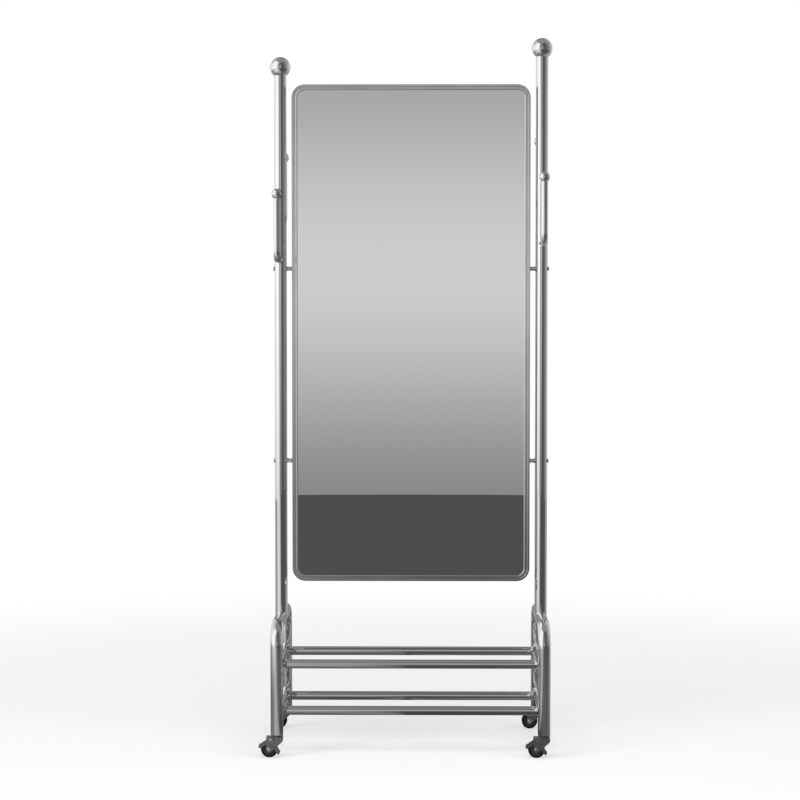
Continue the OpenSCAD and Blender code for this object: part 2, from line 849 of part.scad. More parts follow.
left_post();
right_post();
finials();
left_front_hook();
left_rear_hook();
right_front_hook();
right_rear_hook();
hook_balls();
hook_studs();
hook_nuts();
left_arch();
right_arch();
front_left_leg();
rear_left_leg();
front_right_leg();
rear_right_leg();
leg_joiners();
left_upper_crossbar();
left_lower_crossbar();
right_upper_crossbar();
right_lower_crossbar();
upper_front_rail();
upper_rear_rail();
lower_front_rail();
lower_rear_rail();
rail_inserts();
rail_bolts();
post_inserts();
post_bolts();
mirror_frame();
mirror_glass();
mirror_battens();
mirror_backboard();
backboard_screws();
mirror_spacers();
mirror_bolts();
mirror_nuts();
leg_plugs();
caster_stems();
swivel_balls();
front_left_fork();
front_right_fork();
rear_left_fork();
rear_right_fork();
front_left_axle();
front_right_axle();
rear_left_axle();
rear_right_axle();
front_left_hub();
front_right_hub();
rear_left_hub();
rear_right_hub();
front_left_tyre();
front_right_tyre();
rear_left_tyre();
rear_right_tyre();
front_left_brake();
front_right_brake();
left_brake_pin();
right_brake_pin();
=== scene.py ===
import math

import bmesh
import bpy
from bpy.props import FloatProperty, FloatVectorProperty, PointerProperty
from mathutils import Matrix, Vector


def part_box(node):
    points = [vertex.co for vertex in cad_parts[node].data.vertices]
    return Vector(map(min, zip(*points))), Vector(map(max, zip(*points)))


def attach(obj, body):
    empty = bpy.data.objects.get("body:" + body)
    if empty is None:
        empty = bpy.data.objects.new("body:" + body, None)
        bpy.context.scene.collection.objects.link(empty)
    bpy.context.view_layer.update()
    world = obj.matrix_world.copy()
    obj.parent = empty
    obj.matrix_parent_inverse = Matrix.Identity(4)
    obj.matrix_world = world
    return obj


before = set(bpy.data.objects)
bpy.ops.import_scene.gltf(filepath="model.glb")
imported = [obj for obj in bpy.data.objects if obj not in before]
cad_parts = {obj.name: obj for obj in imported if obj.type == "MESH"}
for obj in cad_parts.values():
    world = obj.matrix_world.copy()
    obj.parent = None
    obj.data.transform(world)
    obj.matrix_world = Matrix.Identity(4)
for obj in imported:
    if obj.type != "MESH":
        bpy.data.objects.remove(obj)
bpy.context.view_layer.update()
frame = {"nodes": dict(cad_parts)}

bl_info = {
    "name": "Rolling floor mirror",
    "version": (1, 0, 0),
    "blender": (4, 5, 0),
    "location": "View3D > Sidebar > Mirror",
    "description": "Finishes, weld beads, glass bead and studio for a rolling floor mirror",
    "category": "Object",
}

NODES = frame["nodes"]
CORNERS = ("front_left", "front_right", "rear_left", "rear_right")
ALONG_X, ALONG_Y, ALONG_Z = range(3)

# lengths in metres; insets are measured from the outside of the mirror's frame
FRAME_CORNER = 0.032                # outside radius of the frame's corners
GLASS_INSET = 0.0132                # to the edge of the frame's lip
GLASS_RIM = (0.0142, 0.0128)        # where the glass starts to darken, and where it is darkest
SIDE_STRIP = (0.030, 0.024)         # the die lines turn upright between these two
GROOVE_OUTER = (0.0052, 0.0062)     # the groove's outer edge, where its painted shade fades in
GROOVE_INNER = (0.0088, 0.0096)     # its inner edge, where the painted shade fades out
FRONT_SKIN = (0.0012, 0.0002)       # behind the frame's front; the groove's painted shade is on the front only
BOARD_EDGE = (0.0016, 0.0004)       # from foil to raw fibre at the board's edge
TREAD_DEPTH = (0.0022, 0.0004)      # under the tyre's outside, from its flank to its tread
PARTING_LINE = (0.0006, 0.0003)     # half width of the tyre's parting line, faint to full

SENSOR = 36.0                       # camera's sensor width, mm
FLOOR_SIZE = 20.0                   # from the floor's middle to its edge
FLOOR_DROP = 0.0002                 # the floor lies this far under the wheels
BACKDROP_RADIUS = 6.72
BACKDROP_HEIGHT = 5.2
BACKDROP_SIDES = 96


# ---------- measures read from the frame ----------

def middle(node):
    """The middle of a node's box."""
    low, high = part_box(node)
    return (low + high) / 2


def extent(node):
    """The three sides of a node's box."""
    low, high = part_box(node)
    return high - low


def ending(*tails):
    """The CAD nodes whose names end in one of the tails."""
    return [name for name in NODES if name.endswith(tails)]


# ---------- shaders ----------

class Value:
    """A node's output socket that takes part in sums; each operator adds a Math node."""

    def __init__(self, shader, socket):
        self.shader = shader
        self.socket = socket

    def maths(self, operation, *values):
        """The result of a Math node."""
        return self.shader.add("ShaderNodeMath", {"operation": operation}, dict(enumerate(values)))

    def __add__(self, other):
        return self.maths("ADD", self, other)

    __radd__ = __add__

    def __sub__(self, other):
        return self.maths("SUBTRACT", self, other)

    def __rsub__(self, other):
        return self.maths("SUBTRACT", other, self)

    def __mul__(self, other):
        return self.maths("MULTIPLY", self, other)

    __rmul__ = __mul__

    def __truediv__(self, other):
        return self.maths("DIVIDE", self, other)

    def __abs__(self):
        return self.maths("ABSOLUTE", self)

    def least(self, other):
        return self.maths("MINIMUM", self, other)

    def most(self, other):
        return self.maths("MAXIMUM", self, other)

    def root(self):
        return self.maths("SQRT", self)


class Shader:
    """One material's node tree, read in Object coordinates."""

    def __init__(self, name):
        self.material = bpy.data.materials.new(name)
        self.material.use_nodes = True
        self.tree = self.material.node_tree
        self.tree.nodes.clear()
        self.place = self.add("ShaderNodeTexCoord", output="Object")

    def add(self, kind, settings=None, inputs=None, output=0):
        """A new node with its settings and its sockets' values or links; gives one output."""
        node = self.tree.nodes.new(kind)
        for key, value in (settings or {}).items():
            if key == "stops":
                ramp = node.color_ramp.elements
                while len(ramp) < len(value):
                    ramp.new(1.0)
                for element, (position, colour) in zip(ramp, value):
                    element.position = position
                    element.color = colour
            elif key == "interpolation":
                node.color_ramp.interpolation = value
            else:
                setattr(node, key, value)
        for key, value in (inputs or {}).items():
            if isinstance(value, Value):
                self.tree.links.new(value.socket, node.inputs[key])
            else:
                node.inputs[key].default_value = value
        return Value(self, node.outputs[output])

    def moved(self, centre=(0, 0, 0), stretch=(1, 1, 1)):
        """Object coordinates measured from a centre and stretched."""
        away = self.add("ShaderNodeVectorMath", {"operation": "SUBTRACT"}, {0: self.place, 1: centre})
        return self.add("ShaderNodeVectorMath", {"operation": "MULTIPLY"}, {0: away, 1: stretch})

    def axes(self, vector):
        """The three parts of a vector."""
        node = self.add("ShaderNodeSeparateXYZ", None, {0: vector}).socket.node
        return [Value(self, socket) for socket in node.outputs]

    def noise(self, scale, detail=4.0, rough=0.55, stretch=(1, 1, 1), distortion=0.0):
        """Cloudy noise with about scale patches a metre."""
        return self.add("ShaderNodeTexNoise", {"noise_dimensions": "3D"}, {
            "Vector": self.moved(stretch=stretch), "Scale": scale, "Detail": detail,
            "Roughness": rough, "Distortion": distortion})

    def cells(self, scale, output="Distance"):
        """Cells, about scale of them a metre: the distance to a cell's point, or its colour."""
        return self.add("ShaderNodeTexVoronoi", {"feature": "F1"}, {
            "Vector": self.place, "Scale": scale}, output)

    def between(self, value, low, high, start=0.0, end=1.0):
        """Smooth step of value from low to high, mapped from start to end."""
        return self.add("ShaderNodeMapRange", {"interpolation_type": "SMOOTHSTEP"}, {
            "Value": value, "From Min": low, "From Max": high, "To Min": start, "To Max": end})

    def blend(self, factor, first, second):
        """Mix of two colours."""
        return self.add("ShaderNodeMix", {"data_type": "RGBA"}, {0: factor, 6: first, 7: second}, 2)

    def greys(self, value, stops, interpolation="LINEAR"):
        """A grey that follows value through the stops, each a position and its grey."""
        brightest = max(grey for position, grey in stops)
        stops = [(position, (grey / brightest,) * 3 + (1.0,)) for position, grey in stops]
        ramp = self.add("ShaderNodeValToRGB", {"stops": stops, "interpolation": interpolation}, {0: value})
        return self.add("ShaderNodeRGBToBW", None, {0: ramp}) * brightest

    def bump(self, height, strength, distance, under=None):
        """A normal from a height, on top of another one where it is given."""
        inputs = {"Height": height, "Strength": strength, "Distance": distance}
        if under:
            inputs["Normal"] = under
        return self.add("ShaderNodeBump", None, inputs)

    def surface(self, **inputs):
        """Ends the material in a Principled shader; gives the material."""
        named = {key.replace("_", " "): value for key, value in inputs.items()}
        shader = self.add("ShaderNodeBsdfPrincipled", None, named)
        self.output(shader)
        return self.material

    def output(self, shader):
        """Ends the material in a shader."""
        node = self.tree.nodes.new("ShaderNodeOutputMaterial")
        self.tree.links.new(shader.socket, node.inputs["Surface"])


def rgba(colour, scale=1.0):
    """A colour socket's four numbers, made lighter or darker by scale."""
    return (colour[0] * scale, colour[1] * scale, colour[2] * scale, 1.0)


def dress(nodes, material):
    """Puts one material on CAD nodes."""
    for name in nodes:
        data = NODES[name].data
        data.materials.clear()
        data.materials.append(material)


def polished_tube(name, colour, roughness, along):
    """Bright chrome on drawn tube: faint lines along it, smudges, fingerprints and pinholes."""
    s = Shader(name)
    lengthwise = tuple(0.04 if axis == along else 1.0 for axis in range(3))
    lines = s.noise(520, 3, 0.6, lengthwise)
    smudge = s.between(s.noise(9, 5, 0.62), 0.46, 0.68)
    prints = s.between(s.noise(42, 3, 0.5, distortion=0.8), 0.58, 0.66) * smudge
    pores = s.between(s.cells(360), 0.10, 0.04) * s.between(s.noise(13, 3), 0.58, 0.7)
    base = s.blend(smudge * 0.4, rgba(colour), rgba(colour, 0.9))
    base = s.blend(pores * 0.6, base, rgba(colour, 0.45))
    rough = roughness + lines * 0.012 + smudge * 0.022 + prints * 0.06 + pores * 0.2
    waves = s.bump(s.noise(11, 1, 0.4, lengthwise), 0.10, 0.0003)
    fine = s.bump(lines, 0.03, 0.00002, waves)
    return s.surface(Base_Color=base, Metallic=1.0, Roughness=rough, Normal=fine)


def polished_ball(name, colour, roughness):
    """Chrome on spun balls, with smudges and fingerprints."""
    s = Shader(name)
    smudge = s.between(s.noise(26, 5, 0.6), 0.45, 0.7)
    prints = s.between(s.noise(160, 3, 0.55, distortion=1.5), 0.55, 0.64) * smudge
    base = s.blend(smudge * 0.3, rgba(colour), rgba(colour, 0.94))
    normal = s.bump(s.noise(60, 2, 0.5), 0.05, 0.0002)
    return s.surface(Base_Color=base, Metallic=1.0, Roughness=roughness + smudge * 0.02 + prints * 0.07,
                     Normal=normal)


def satin_section(name, colour, roughness):
    """Satin metal section: die lines along each side of the frame, fine grain, painted shade in the groove.
    """
    s = Shader(name)
    centre = middle("mirror_frame")
    half = extent("mirror_frame") / 2
    x, y, z = s.axes(s.moved(centre))
    upright = s.between(abs(x), half.x - SIDE_STRIP[0], half.x - SIDE_STRIP[1])
    level_lines = s.noise(900, 2, 0.5, (0.02, 1, 1))
    upright_lines = s.noise(900, 2, 0.5, (1, 1, 0.02))
    lines = level_lines * (1 - upright) + upright_lines * upright
    grain = s.noise(2600, 2, 0.6)
    cloud = s.noise(7, 4, 0.6)
    inset = (half.x - abs(x)).least(half.z - abs(z))
    groove = s.between(inset, *GROOVE_OUTER) * s.between(inset, *GROOVE_INNER, 1.0, 0.0)
    front = s.between(y, -half.y + FRONT_SKIN[0], -half.y + FRONT_SKIN[1])
    base = s.blend(s.between(cloud, 0.35, 0.7), rgba(colour), rgba(colour, 0.86))
    # painted shade: the front of the groove is darkened in the colour
    base = s.blend(groove * front * 0.35, base, rgba(colour, 0.5))
    rough = roughness + lines * 0.10 + grain * 0.05
    normal = s.bump(lines * 0.7 + grain * 0.3, 0.22, 0.00006)
    return s.surface(Base_Color=base, Metallic=1.0, Roughness=rough, Normal=normal)


def mirror_glass(name, colour):
    """Silvered glass: clear face, faint wipe marks and specks, a dark rim beside the frame's lip."""
    s = Shader(name)
    centre = middle("mirror_frame")
    half = extent("mirror_frame") / 2
    x, _, z = s.axes(s.moved(centre))
    inset = (half.x - abs(x)).least(half.z - abs(z))
    rim = s.between(inset, *GLASS_RIM)
    wipes = s.between(s.noise(5, 5, 0.6, (1, 1, 0.35), 1.2), 0.52, 0.75)
    specks = s.between(s.cells(240), 0.05, 0.02) * s.between(s.noise(11, 2), 0.6, 0.7)
    base = s.blend(rim * 0.6, rgba(colour), (0.05, 0.06, 0.06, 1.0))
    base = s.blend(wipes * 0.05, base, (0.78, 0.80, 0.82, 1.0))
    rough = 0.004 + wipes * 0.012 + specks * 0.05 + rim * 0.1
    normal = s.bump(s.noise(1.6, 1, 0.4), 0.05, 0.0004)
    return s.surface(Base_Color=base, Metallic=1.0, Roughness=rough, Normal=normal,
                     Coat_Weight=1.0, Coat_Roughness=0.01, Coat_IOR=1.5)


def faced_board(name, colour):
    """Back board: dark printed foil on fibreboard, pressed grain, scuffs, raw fibre at its edges."""
    s = Shader(name)
    centre = middle("mirror_backboard")
    half = extent("mirror_backboard") / 2
    x, _, z = s.axes(s.moved(centre))
    inset = (half.x - abs(x)).least(half.z - abs(z))
    edge = s.between(inset, *BOARD_EDGE)
    grain = s.noise(180, 6, 0.7, (1, 1, 0.06), 0.6)
    fibre = s.noise(700, 3, 0.6)
    scratch = s.noise(60, 3, 0.6, (1, 1, 0.15))
    scuff = s.between(s.noise(3.2, 6, 0.72), 0.6, 0.68) * s.between(scratch, 0.5, 0.65)
    base = s.blend(s.between(grain, 0.35, 0.68), rgba(colour, 0.86), rgba(colour, 1.2))
    base = s.blend(scuff * 0.4, base, (0.24, 0.23, 0.22, 1.0))
    base = s.blend(edge * (0.6 + fibre * 0.5), base, (0.30, 0.21, 0.13, 1.0))
    normal = s.bump(grain * 0.6 + fibre * 0.4, 0.25, 0.0001)
    return s.surface(Base_Color=base, Roughness=0.52 + fibre * 0.2 - scuff * 0.1, Normal=normal)


def sawn_wood(name, colour):
    """Softwood battens behind the glass: year rings and saw marks."""
    s = Shader(name)
    rings = s.noise(60, 5, 0.6, (1, 1, 0.05), 0.7)
    saw = s.noise(900, 2, 0.5, (1, 1, 0.2))
    base = s.blend(s.between(rings, 0.38, 0.66), rgba(colour), rgba(colour, 0.66))
    return s.surface(Base_Color=base, Roughness=0.7 + saw * 0.15, Normal=s.bump(saw, 0.4, 0.0002))


def zinc_sheet(name, colour, roughness):
    """Zinc-plated pressed sheet: spangle, rolling lines and dull spots."""
    s = Shader(name)
    spangle = s.cells(420, output="Color")
    tone = s.add("ShaderNodeRGBToBW", None, {0: spangle})
    rolled = s.noise(700, 3, 0.6, (0.05, 1, 1))
    dull = s.between(s.noise(95, 5, 0.65), 0.48, 0.66)
    base = s.blend(tone * 0.5, rgba(colour), rgba(colour, 0.72))
    base = s.blend(dull * 0.5, base, rgba(colour, 0.5))
    rough = roughness + tone * 0.07 + dull * 0.18 + rolled * 0.05
    normal = s.bump(rolled * 0.5 + tone * 0.5, 0.3, 0.00005)
    return s.surface(Base_Color=base, Metallic=0.82, Roughness=rough, Normal=normal)


def fastener_metal(name, colour, roughness):
    """Plated bolts, pins and nuts: turned marks and stains."""
    s = Shader(name)
    stain = s.between(s.noise(420, 4, 0.6), 0.5, 0.7)
    turned = s.noise(3200, 2, 0.5)
    base = s.blend(stain * 0.5, rgba(colour), rgba(colour, 0.6))
    return s.surface(Base_Color=base, Metallic=1.0, Roughness=roughness + turned * 0.08 + stain * 0.15,
                     Normal=s.bump(turned, 0.2, 0.00003))


def moulded_plastic(name, colour, roughness):
    """Moulded nylon: spark-eroded grain, flow clouds, paler scuffs."""
    s = Shader(name)
    grain = s.noise(2400, 3, 0.65)
    cloud = s.noise(70, 4, 0.6)
    scuff = s.between(s.noise(330, 4, 0.7, (1, 1, 0.3)), 0.62, 0.7)
    base = s.blend(s.between(cloud, 0.3, 0.7), rgba(colour), rgba(colour, 1.25))
    base = s.blend(scuff * 0.35, base, rgba([c + 0.08 for c in colour]))
    return s.surface(Base_Color=base, Roughness=roughness + grain * 0.12 + scuff * 0.1,
                     Normal=s.bump(grain, 0.4, 0.00004))


def wheel_rubber(name, colour, dust, corner):
    """Tyre: dark rubber with a parting line, fine pitting and floor dust on the tread."""
    s = Shader(name)
    centre = middle(f"{corner}_tyre")
    radius = extent(f"{corner}_tyre").z / 2
    x, y, z = s.axes(s.moved(centre))
    reach = (x * x + z * z).root()
    tread = s.between(reach, radius - TREAD_DEPTH[0], radius - TREAD_DEPTH[1])
    pits = s.noise(1300, 4, 0.65)
    wear = s.between(s.noise(520, 5, 0.65), 0.40, 0.70)
    line = s.between(abs(y), *PARTING_LINE)
    base = s.blend(s.between(pits, 0.35, 0.7), rgba(colour), rgba(colour, 1.5))
    base = s.blend(tread * (0.12 + wear * 0.30), base, rgba(dust))
    normal = s.bump(pits * 0.6 + line * tread * 0.5, 0.35, 0.00015)
    return s.surface(Base_Color=base, Roughness=0.62 + pits * 0.18 + wear * 0.08, Normal=normal,
                     Specular_IOR_Level=0.3)


# ---------- meshes ----------

def add_mesh(name, build, smooth=40.0):
    """A new object whose mesh the function builds; edges over smooth degrees stay sharp."""
    bm = bmesh.new()
    build(bm)
    data = bpy.data.meshes.new(name)
    bm.to_mesh(data)
    bm.free()
    data.shade_smooth()
    piece = bpy.data.objects.new(name, data)
    bpy.context.scene.collection.objects.link(piece)
    if smooth < 180:
        data.set_sharp_from_angle(angle=math.radians(smooth))
    return piece


class Tree:
    """A Geometry Nodes tree with named inputs; it ends in Realize Instances and Set Material."""

    def __init__(self, name, inputs):
        self.tree = bpy.data.node_groups.new(name, "GeometryNodeTree")
        sockets = self.tree.interface
        sockets.new_socket("Geometry", in_out="INPUT", socket_type="NodeSocketGeometry")
        for label, kind in inputs.items():
            sockets.new_socket(label, in_out="INPUT", socket_type=kind)
        sockets.new_socket("Geometry", in_out="OUTPUT", socket_type="NodeSocketGeometry")
        self.start = self.tree.nodes.new("NodeGroupInput")

    def add(self, kind, settings=None, inputs=None, output=0):
        """A new node with its settings and its sockets' values or links; gives one output."""
        node = self.tree.nodes.new(kind)
        for key, value in (settings or {}).items():
            setattr(node, key, value)
        for key, value in (inputs or {}).items():
            if isinstance(value, bpy.types.NodeSocket):
                self.tree.links.new(value, node.inputs[key])
            else:
                node.inputs[key].default_value = value
        return node.outputs[output]

    def finish(self, geometry, material):
        """Realizes the geometry, gives it its material and ends the tree."""
        geometry = self.add("GeometryNodeRealizeInstances", None, {"Geometry": geometry})
        geometry = self.add("GeometryNodeSetMaterial", None, {"Geometry": geometry, "Material": material})
        end = self.tree.nodes.new("NodeGroupOutput")
        self.tree.links.new(geometry, end.inputs["Geometry"])
        return self.tree


def grow(piece, tree, values):
    """Runs a tree on a piece and keeps the result as its plain mesh."""
    modifier = piece.modifiers.new(tree.name, "NODES")
    modifier.node_group = tree
    for item in tree.interface.items_tree:
        if item.in_out == "INPUT" and item.name in values:
            modifier[item.identifier] = values[item.name]
    evaluated = piece.evaluated_get(bpy.context.evaluated_depsgraph_get())
    grown = bpy.data.meshes.new_from_object(evaluated)
    piece.modifiers.clear()
    piece.data = grown
    grown.name = piece.name
    return piece


def saddle(tube_radius, cut_radius, count=72):
    """Points where a tube along +Y from the origin meets an upright tube of cut_radius."""
    points = []
    for i in range(count):
        turn = 2 * math.pi * i / count
        x, z = tube_radius * math.cos(turn), tube_radius * math.sin(turn)
        points.append(Vector((x, math.sqrt(max(cut_radius ** 2 - x ** 2, 0)), z)))
    return points


def loops(name, rings):
    """An object that holds closed loops of edges."""
    def build(bm):
        for ring in rings:
            corners = [bm.verts.new(point) for point in ring]
            for a, b in zip(corners, corners[1:] + corners[:1]):
                bm.edges.new((a, b))
    return add_mesh(name, build, 180)


def weld_tree():
    """Overlapping weld ripples along every loop of edges."""
    t = Tree("weld_ripples", {"Bead radius": "NodeSocketFloat", "Ripple step": "NodeSocketFloat",
                              "Material": "NodeSocketMaterial"})
    start = t.start.outputs
    curve = t.add("GeometryNodeMeshToCurve", None, {"Mesh": start["Geometry"]})
    points = t.add("GeometryNodeResampleCurve", {"mode": "LENGTH"}, {
        "Curve": curve, "Length": start["Ripple step"]})
    ball = t.add("GeometryNodeMeshUVSphere", None, {
        "Segments": 10, "Rings": 7, "Radius": start["Bead radius"]})
    flat = t.add("GeometryNodeTransform", None, {"Geometry": ball, "Scale": (1.0, 1.0, 0.62)})
    along = t.add("GeometryNodeInputTangent")
    turn = t.add("FunctionNodeAlignRotationToVector", {"axis": "Z"}, {"Vector": along})
    beads = t.add("GeometryNodeInstanceOnPoints", None, {
        "Points": points, "Instance": flat, "Rotation": turn})
    return t.finish(beads, start["Material"])


def bead_tree():
    """A round bead along a closed loop of edges."""
    t = Tree("glass_bead", {"Bead radius": "NodeSocketFloat", "Material": "NodeSocketMaterial"})
    start = t.start.outputs
    curve = t.add("GeometryNodeMeshToCurve", None, {"Mesh": start["Geometry"]})
    profile = t.add("GeometryNodeCurvePrimitiveCircle", None, {
        "Resolution": 10, "Radius": start["Bead radius"]})
    bead = t.add("GeometryNodeCurveToMesh", None, {"Curve": curve, "Profile Curve": profile})
    return t.finish(bead, start["Material"])


# ---------- settings ----------

class FinishSettings(bpy.types.PropertyGroup):
    """Colours and roughness of the finishes."""
    chrome: FloatVectorProperty(name="Chrome", description="Colour of the plated tubes", subtype="COLOR",
                                default=(0.72, 0.73, 0.74), min=0, max=1)
    chrome_roughness: FloatProperty(name="Chrome roughness", description="Roughness of clean chrome",
                                    default=0.018, min=0, max=0.5)
    frame: FloatVectorProperty(name="Frame", description="Colour of the mirror's frame", subtype="COLOR",
                               default=(0.76, 0.77, 0.775), min=0, max=1)
    frame_roughness: FloatProperty(name="Frame roughness", description="Roughness of the satin frame",
                                   default=0.10, min=0, max=1)
    glass: FloatVectorProperty(name="Glass", description="Colour of the silvered glass", subtype="COLOR",
                               default=(0.86, 0.88, 0.89), min=0, max=1)
    board: FloatVectorProperty(name="Back board", description="Colour of the back board's foil",
                               subtype="COLOR", default=(0.055, 0.056, 0.06), min=0, max=1)
    wood: FloatVectorProperty(name="Battens", description="Colour of the battens", subtype="COLOR",
                              default=(0.55, 0.40, 0.24), min=0, max=1)
    zinc: FloatVectorProperty(name="Zinc", description="Colour of the casters' sheet metal",
                              subtype="COLOR", default=(0.25, 0.253, 0.25), min=0, max=1)
    steel: FloatVectorProperty(name="Fasteners", description="Colour of bolts, nuts and pins",
                               subtype="COLOR", default=(0.72, 0.73, 0.74), min=0, max=1)
    plug: FloatVectorProperty(name="Plugs", description="Colour of the plugs in the tubes", subtype="COLOR",
                              default=(0.018, 0.018, 0.02), min=0, max=1)
    wheel: FloatVectorProperty(name="Wheel centre", description="Colour of the wheels' centres",
                               subtype="COLOR", default=(0.042, 0.042, 0.041), min=0, max=1)
    tyre: FloatVectorProperty(name="Tyre", description="Colour of the tyres", subtype="COLOR",
                              default=(0.009, 0.009, 0.0095), min=0, max=1)
    dust: FloatVectorProperty(name="Dust", description="Colour of the dust on the tread", subtype="COLOR",
                              default=(0.07, 0.068, 0.064), min=0, max=1)


class DetailSettings(bpy.types.PropertyGroup):
    """Sizes of the small pieces."""
    bead: FloatProperty(name="Weld bead", description="Radius of a weld's ripples", default=0.0013,
                        min=0.0005, max=0.003, subtype="DISTANCE", unit="LENGTH")
    ripple: FloatProperty(name="Ripple step", description="Distance between two ripples", default=0.0013,
                          min=0.0005, max=0.005, subtype="DISTANCE", unit="LENGTH")
    glass_bead: FloatProperty(name="Glass bead", description="Radius of the bead along the glass",
                              default=0.0009, min=0.0004, max=0.002, subtype="DISTANCE", unit="LENGTH")


class StageSettings(bpy.types.PropertyGroup):
    """Camera and lamps."""
    height: FloatProperty(name="Camera height", description="Camera above the floor", default=1.110,
                          subtype="DISTANCE", unit="LENGTH")
    distance: FloatProperty(name="Camera distance", description="Camera to the plane of the uprights",
                            default=5.470, subtype="DISTANCE", unit="LENGTH")
    lens: FloatProperty(name="Lens", description="Focal length", default=100.8, subtype="DISTANCE_CAMERA")
    tilt: FloatProperty(name="Tilt", description="Camera's tilt downwards", default=math.radians(2.79),
                        subtype="ANGLE", unit="ROTATION")
    turn: FloatProperty(name="Turn", description="Camera's turn to the left", default=math.radians(0.69),
                        subtype="ANGLE", unit="ROTATION")
    aside: FloatProperty(name="Camera offset", description="Camera to the right of the mirror's middle",
                         default=0.039, subtype="DISTANCE", unit="LENGTH")
    key: FloatProperty(name="Key light", description="Power of the soft light from the left front",
                       default=86.0, min=0, unit="POWER")
    fill: FloatProperty(name="Fill light", description="Power of the soft light from the right",
                        default=34.0, min=0, unit="POWER")
    top: FloatProperty(name="Top light", description="Power of the soft light from above",
                       default=62.0, min=0, unit="POWER")


def finishes():
    return bpy.context.scene.mirror_finishes


def details():
    return bpy.context.scene.mirror_details


# ---------- operators ----------

class MIRROR_OT_finish_tubes(bpy.types.Operator):
    """Polished chrome on the uprights, hooks, arches, legs, crossbars, rails and balls"""
    bl_idname = "mirror.finish_tubes"
    bl_label = "Finish the tubes"

    def execute(self, context):
        f = finishes()
        upright = polished_tube("chrome_upright", f.chrome, f.chrome_roughness, ALONG_Z)
        rail = polished_tube("chrome_rail", f.chrome, f.chrome_roughness, ALONG_X)
        crossbar = polished_tube("chrome_crossbar", f.chrome, f.chrome_roughness, ALONG_Y)
        ball = polished_ball("chrome_ball", f.chrome, f.chrome_roughness)
        dress(ending("_post", "_leg", "_hook"), upright)
        dress(ending("_rail") + ["mirror_spacers"], rail)
        dress(ending("_crossbar", "_arch"), crossbar)
        dress(["finials", "hook_balls"], ball)
        return {"FINISHED"}


class MIRROR_OT_finish_mirror(bpy.types.Operator):
    """Satin frame, silvered glass, board and battens"""
    bl_idname = "mirror.finish_mirror"
    bl_label = "Finish the mirror"

    def execute(self, context):
        f = finishes()
        dress(["mirror_frame"], satin_section("satin_frame", f.frame, f.frame_roughness))
        dress(["mirror_glass"], mirror_glass("silvered_glass", f.glass))
        dress(["mirror_backboard"], faced_board("back_board", f.board))
        dress(["mirror_battens"], sawn_wood("batten_wood", f.wood))
        return {"FINISHED"}


class MIRROR_OT_finish_casters(bpy.types.Operator):
    """Zinc sheet, plated fasteners, plastic and rubber"""
    bl_idname = "mirror.finish_casters"
    bl_label = "Finish the casters and fasteners"

    def execute(self, context):
        f = finishes()
        zinc = zinc_sheet("zinc_sheet", f.zinc, roughness=0.21)
        steel = fastener_metal("plated_fastener", f.steel, roughness=0.2)
        inner = fastener_metal("turned_insert", f.zinc, roughness=0.35)
        wheel = moulded_plastic("wheel_nylon", f.wheel, roughness=0.42)
        dress(ending("_fork", "_brake") + ["caster_stems"], zinc)
        dress(ending("_axle", "_pin", "_bolts", "_nuts", "_screws"), steel)
        dress(["swivel_balls", "hook_studs"], steel)
        dress(["rail_inserts", "post_inserts", "leg_joiners"], inner)
        dress(["leg_plugs"], moulded_plastic("plug_nylon", f.plug, roughness=0.38))
        for corner in CORNERS:
            dress([f"{corner}_hub"], wheel)
            dress([f"{corner}_tyre"], wheel_rubber(f"{corner}_rubber", f.tyre, f.dust, corner))
        return {"FINISHED"}


class MIRROR_OT_add_welds(bpy.types.Operator):
    """Weld ripples where the crossbars meet the legs"""
    bl_idname = "mirror.add_welds"
    bl_label = "Add the weld beads"

    def execute(self, context):
        d = details()
        rings = [self.seam(f"{side}_{level}_crossbar", f"{end}_{side}_leg")
                 for side in ("left", "right") for level in ("upper", "lower") for end in ("front", "rear")]
        welds = loops("weld_beads", rings)
        chrome = bpy.data.materials["chrome_crossbar"]
        grow(welds, weld_tree(), {"Bead radius": d.bead, "Ripple step": d.ripple, "Material": chrome})
        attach(welds, "stand")
        return {"FINISHED"}

    def seam(self, crossbar, leg):
        """The line where a crossbar's outside meets a leg's."""
        bar, at = middle(crossbar), middle(leg)
        inwards = 1 if at.y < bar.y else -1
        return [Vector((at.x + point.x, at.y + inwards * point.y, bar.z + point.z))
                for point in saddle(extent(crossbar).x / 2, extent(leg).x / 2)]


class MIRROR_OT_add_glass_bead(bpy.types.Operator):
    """A thin bright bead between the frame's lip and the glass"""
    bl_idname = "mirror.add_glass_bead"
    bl_label = "Add the glass bead"

    def execute(self, context):
        d = details()
        centre, half = middle("mirror_frame"), extent("mirror_frame") / 2
        corner, steps = FRAME_CORNER - GLASS_INSET, 10
        glass_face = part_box("mirror_glass")[0].y
        reach_x, reach_z = half.x - FRAME_CORNER, half.z - FRAME_CORNER
        ring = []
        for quarter, (right, up) in enumerate(((1, 1), (-1, 1), (-1, -1), (1, -1))):
            for i in range(steps + 1):
                turn = math.pi / 2 * (quarter + i / steps)
                ring.append(Vector((centre.x + right * reach_x + corner * math.cos(turn), glass_face,
                                    centre.z + up * reach_z + corner * math.sin(turn))))
        bead = loops("glass_bead", [ring])
        chrome = bpy.data.materials["chrome_ball"]
        grow(bead, bead_tree(), {"Bead radius": d.glass_bead, "Material": chrome})
        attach(bead, "stand")
        return {"FINISHED"}


